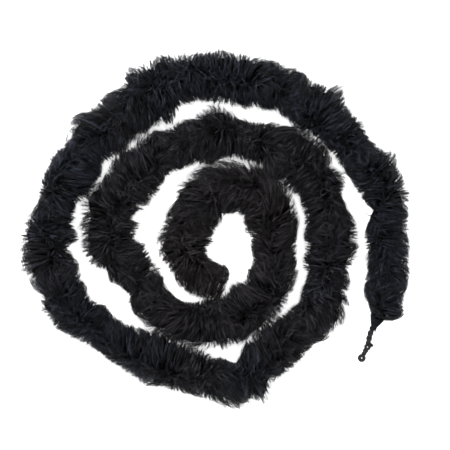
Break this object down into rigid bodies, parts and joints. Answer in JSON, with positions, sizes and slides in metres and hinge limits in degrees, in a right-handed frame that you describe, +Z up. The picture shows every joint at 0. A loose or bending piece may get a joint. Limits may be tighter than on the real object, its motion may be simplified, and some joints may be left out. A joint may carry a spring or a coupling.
{
  "type": "feather boa",
  "caption": "Fluffy black marabou boa laid flat in a loose spiral, with a bare twisted cord tail that ends in a small eye.",
  "frame": {"origin": "on the table, under the middle of the box round the laid spiral", "axes": "+Z up off the table; +X along the spiral's longer side, towards the side where the bare tail lies; +Y away from the tail's tip"},
  "size_m": [0.38, 0.3416, 0.037],
  "materials": {
    "marabou_plumes": "soft fluffy down, near black with a faint blue-grey sheen",
    "twisted_cord": "matte twisted cotton, charcoal black",
    "winding_thread": "matte sewing thread, wound tight"
  },
  "bodies": {
    "coil": {"plume_group_04": "marabou_plumes", "plume_group_05": "marabou_plumes", "plume_group_06": "marabou_plumes", "plume_group_07": "marabou_plumes", "plume_group_08": "marabou_plumes", "plume_group_09": "marabou_plumes", "plume_group_10": "marabou_plumes", "plume_group_11": "marabou_plumes", "plume_group_12": "marabou_plumes", "plume_group_13": "marabou_plumes", "plume_group_14": "marabou_plumes", "plume_group_15": "marabou_plumes", "plume_group_16": "marabou_plumes", "plume_group_17": "marabou_plumes", "plume_group_18": "marabou_plumes", "plume_group_19": "marabou_plumes", "plume_group_20": "marabou_plumes", "plume_group_21": "marabou_plumes", "plume_group_22": "marabou_plumes", "plume_group_23": "marabou_plumes", "plume_group_24": "marabou_plumes", "plume_group_25": "marabou_plumes", "plume_group_26": "marabou_plumes", "plume_group_27": "marabou_plumes", "plume_group_28": "marabou_plumes", "plume_group_29": "marabou_plumes", "plume_group_30": "marabou_plumes", "plume_group_31": "marabou_plumes", "plume_group_32": "marabou_plumes", "plume_group_33": "marabou_plumes", "plume_group_34": "marabou_plumes", "plume_group_35": "marabou_plumes", "plume_group_36": "marabou_plumes", "plume_group_37": "marabou_plumes", "plume_group_38": "marabou_plumes", "plume_group_39": "marabou_plumes", "plume_group_40": "marabou_plumes", "coil_upper_ply": "twisted_cord", "coil_lower_ply": "twisted_cord"},
    "inner_end": {"plume_group_01": "marabou_plumes", "plume_group_02": "marabou_plumes", "plume_group_03": "marabou_plumes", "inner_end_upper_ply": "twisted_cord", "inner_end_lower_ply": "twisted_cord", "stop_knot": "twisted_cord"},
    "outer_turn": {"plume_group_41": "marabou_plumes", "plume_group_42": "marabou_plumes", "outer_turn_upper_ply": "twisted_cord", "outer_turn_lower_ply": "twisted_cord"},
    "free_end": {"plume_group_43": "marabou_plumes", "plume_group_44": "marabou_plumes", "free_end_upper_ply": "twisted_cord", "free_end_lower_ply": "twisted_cord", "neck_winding": "winding_thread"},
    "tail": {"upper_tail_cord": "twisted_cord", "second_eye": "twisted_cord", "cord_tag": "twisted_cord", "lower_tail_cord": "twisted_cord", "end_eye": "twisted_cord"}
  },
  "joints": [
    {"name": "inner_end_bend", "type": "hinge", "parent": "coil", "child": "inner_end", "pos_m": [-0.0305, 0.001, 0.016], "axis": [0, 0, 1], "range_deg": [0, 20]},
    {"name": "outer_bend", "type": "hinge", "parent": "coil", "child": "outer_turn", "pos_m": [0.115, 0.1025, 0.016], "axis": [0, 0, 1], "range_deg": [0, 35]},
    {"name": "end_bend", "type": "hinge", "parent": "outer_turn", "child": "free_end", "pos_m": [0.164, 0.0195, 0.016], "axis": [0, 0, 1], "range_deg": [-6, 35]},
    {"name": "tail_swing", "type": "hinge", "parent": "free_end", "child": "tail", "pos_m": [0.1574, -0.09574, 0.01136], "axis": [0, 0, 1], "range_deg": [-35, 35]}
  ]
}
